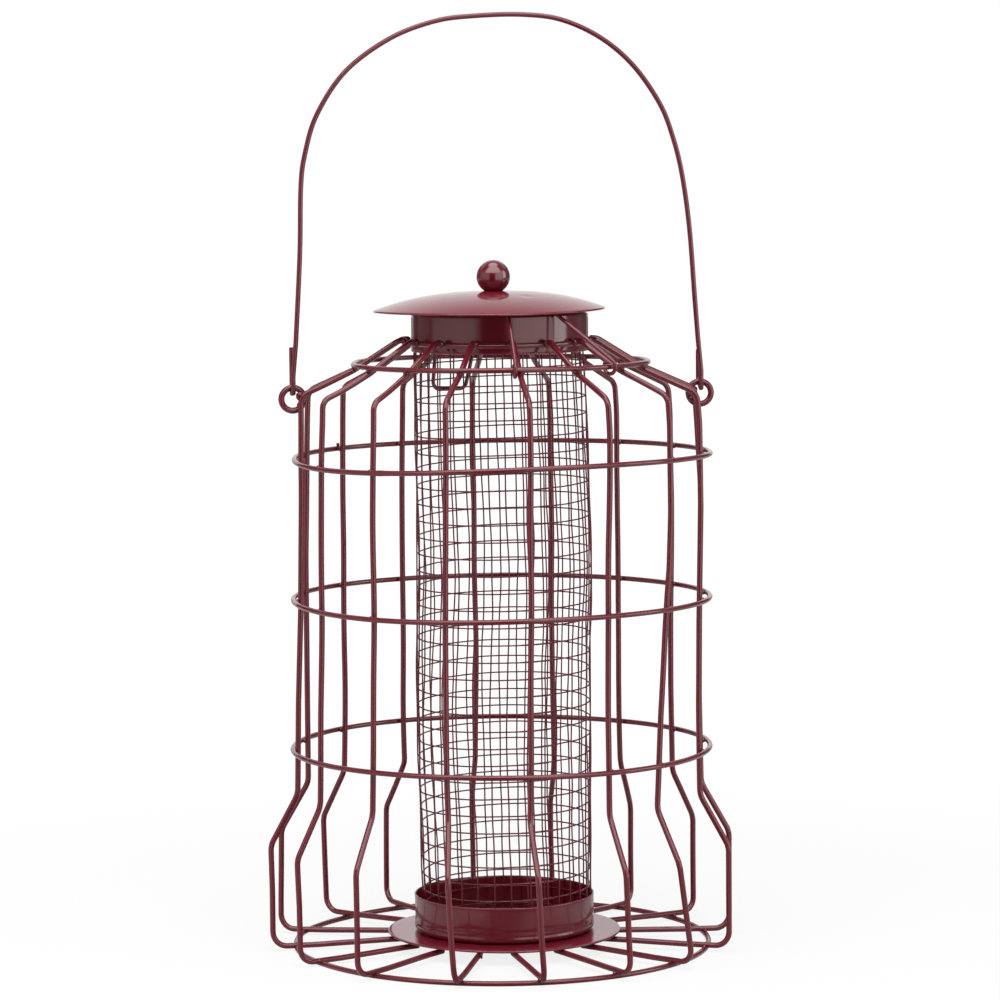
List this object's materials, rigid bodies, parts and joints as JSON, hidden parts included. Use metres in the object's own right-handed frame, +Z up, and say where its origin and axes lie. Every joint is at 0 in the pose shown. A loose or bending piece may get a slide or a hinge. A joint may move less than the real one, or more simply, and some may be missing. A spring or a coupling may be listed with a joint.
{
  "type": "bird feeder",
  "caption": "Squirrel-proof hanging peanut feeder: a flared wire cage round a mesh seed tube, with a domed lid on a bent-wire hinge, a seed cup on a round plate and a wire handle.",
  "frame": {"origin": "centre of the foot hoop, on the surface that the feeder stands on", "axes": "+Z up along the seed tube; +X through the right-hand handle eye, seen from the front at -Y, where the lid's hinge lies"},
  "size_m": [0.1798, 0.1798, 0.3574],
  "materials": {
    "cage_wire": "glossy powder coat",
    "fittings_wire": "glossy powder coat",
    "mesh_wire": "glossy powder coat",
    "sheet_metal": "glossy powder coat",
    "sheet_top": "high-gloss powder coat",
    "knob": "high-gloss powder coat"
  },
  "bodies": {
    "cage": {"upright_00": "cage_wire", "upright_01": "cage_wire", "upright_02": "cage_wire", "upright_03": "cage_wire", "upright_04": "cage_wire", "upright_05": "cage_wire", "upright_06": "cage_wire", "upright_07": "cage_wire", "upright_08": "cage_wire", "upright_09": "cage_wire", "upright_10": "cage_wire", "upright_11": "cage_wire", "upright_12": "cage_wire", "upright_13": "cage_wire", "upright_14": "cage_wire", "upright_15": "cage_wire", "foot_hoop": "cage_wire", "body_hoop_lower": "cage_wire", "body_hoop_middle": "cage_wire", "body_hoop_upper": "cage_wire", "top_hoop": "cage_wire", "neck_ring": "cage_wire", "eye_left": "fittings_wire", "eye_right": "fittings_wire", "collar": "sheet_metal", "mesh_tube": "mesh_wire", "seed_cup": "sheet_metal", "base_plate": "sheet_top"},
    "lid": {"lid_dome": "sheet_top", "lid_knob": "knob", "lid_wire": "fittings_wire"},
    "handle": {"handle": "fittings_wire"}
  },
  "joints": [
    {"name": "lid_hinge", "type": "hinge", "parent": "cage", "child": "lid", "pos_m": [0.01708, -0.05047, 0.22462], "axis": [0.9472, 0.3206, 0], "range_deg": [0, 110]},
    {"name": "handle_swing", "type": "hinge", "parent": "cage", "child": "handle", "pos_m": [0, 0.0026, 0.21605], "axis": [1, 0, 0], "range_deg": [-120, 120]}
  ]
}
